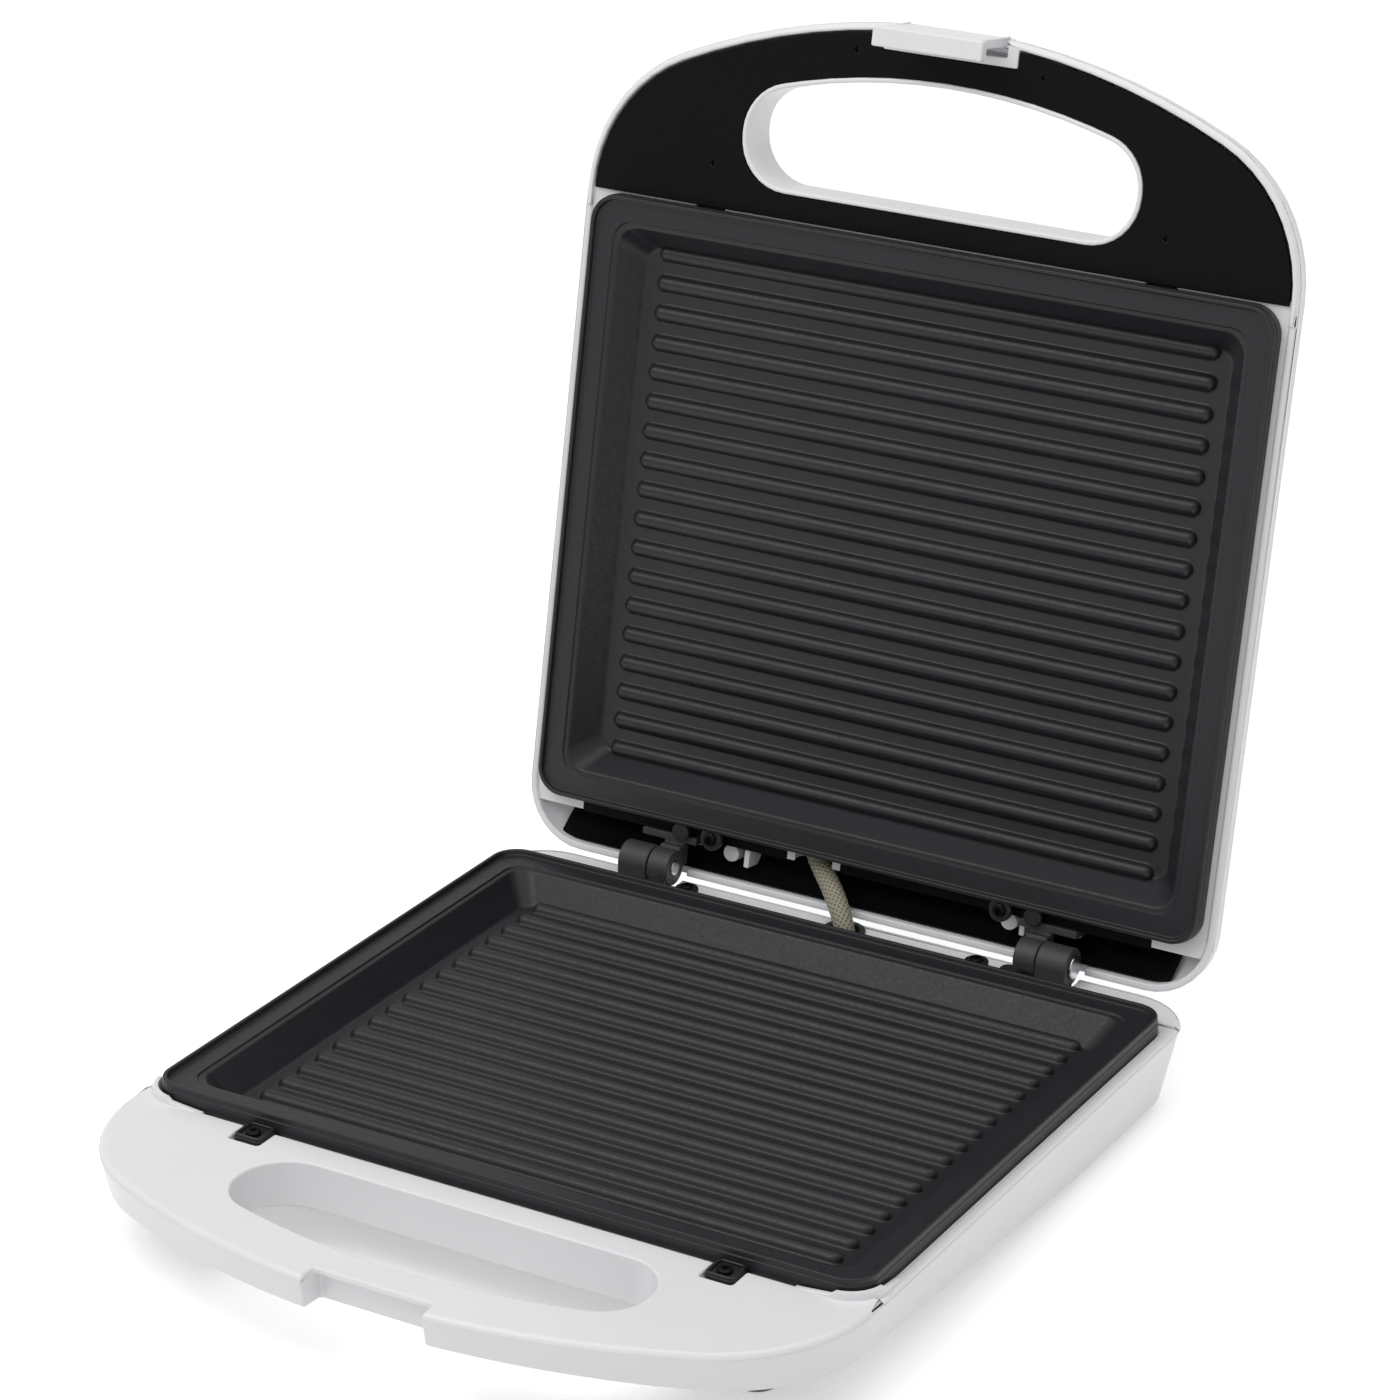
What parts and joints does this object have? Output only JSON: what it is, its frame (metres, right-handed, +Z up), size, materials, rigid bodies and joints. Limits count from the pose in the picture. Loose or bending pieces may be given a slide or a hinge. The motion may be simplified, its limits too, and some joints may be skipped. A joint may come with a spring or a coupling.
{
  "type": "panini press",
  "caption": "Electric panini press with two ribbed grill plates, a lid that opens on a rear hinge, hand-hold openings in both handles and a front latch.",
  "frame": {"origin": "on the table, at the middle of the open press's box seen from above; the middle of the plates is 6.9 mm in front of it", "axes": "+X to the right across the press, +Y from the handle to the hinge, +Z up; the lid is open at rest"},
  "size_m": [0.293, 0.4105, 0.3705],
  "materials": {
    "white_abs": "satin moulded ABS",
    "black_plastic": "fine moulded texture",
    "coated_plate": "cast, black-grey non-stick coating",
    "hinge_plastic": "moulded",
    "rubber": "matte",
    "black_screw": "black oxide",
    "zinc_steel": "zinc plated",
    "pin_steel": "ground",
    "heater_steel": "drawn tube, heat tinted",
    "reflector": "rolled sheet",
    "ceramic": "unglazed steatite",
    "brass": "plain",
    "glass_sleeve": "braided glass-fibre sleeve",
    "red_lens": "polished",
    "green_lens": "polished",
    "circuit_board": "laminate",
    "lamp_glass": "clear"
  },
  "bodies": {
    "base": {"base_shell": "white_abs", "base_bottom_cover": "white_abs", "cover_screws": "zinc_steel", "front_feet": "rubber", "rear_feet": "rubber", "lower_grill_plate": "coated_plate", "lower_plate_screws": "black_screw", "lower_heating_element": "heater_steel", "lower_element_ends": "ceramic", "lower_element_clips": "zinc_steel", "lower_reflector": "reflector", "lower_reflector_screws": "zinc_steel", "thermostat": "ceramic", "lower_thermal_fuse": "brass", "terminal_block": "ceramic", "cord_gland": "black_plastic", "base_hinge_left": "hinge_plastic", "base_hinge_right": "hinge_plastic", "base_hinge_screws": "zinc_steel", "hinge_pin_left": "pin_steel", "hinge_pin_right": "pin_steel", "sleeve_bush": "black_plastic", "wiring_sleeve": "glass_sleeve"},
    "lid": {"lid_shell": "white_abs", "lid_handle_cover": "black_plastic", "handle_cover_screws": "black_screw", "upper_grill_plate": "coated_plate", "upper_plate_screws": "black_screw", "upper_heating_element": "heater_steel", "upper_element_ends": "ceramic", "upper_element_clips": "zinc_steel", "upper_reflector": "reflector", "upper_reflector_screws": "zinc_steel", "upper_thermal_fuse": "brass", "lid_hinge_left": "hinge_plastic", "lid_hinge_right": "hinge_plastic", "lid_hinge_screws": "zinc_steel", "power_lens": "red_lens", "ready_lens": "green_lens", "lamp_board": "circuit_board", "lamps": "lamp_glass", "latch_pin": "pin_steel"},
    "latch": {"latch": "white_abs"}
  },
  "joints": [
    {"name": "lid_hinge", "type": "hinge", "parent": "base", "child": "lid", "pos_m": [0, 0.12791, 0.0404], "axis": [1, 0, 0], "range_deg": [0, 100], "deforming": ["wiring_sleeve"]},
    {"name": "latch_pivot", "type": "hinge", "parent": "lid", "child": "latch", "pos_m": [0, 0.19907, 0.36274], "axis": [1, 0, 0], "range_deg": [-22, 8]}
  ]
}
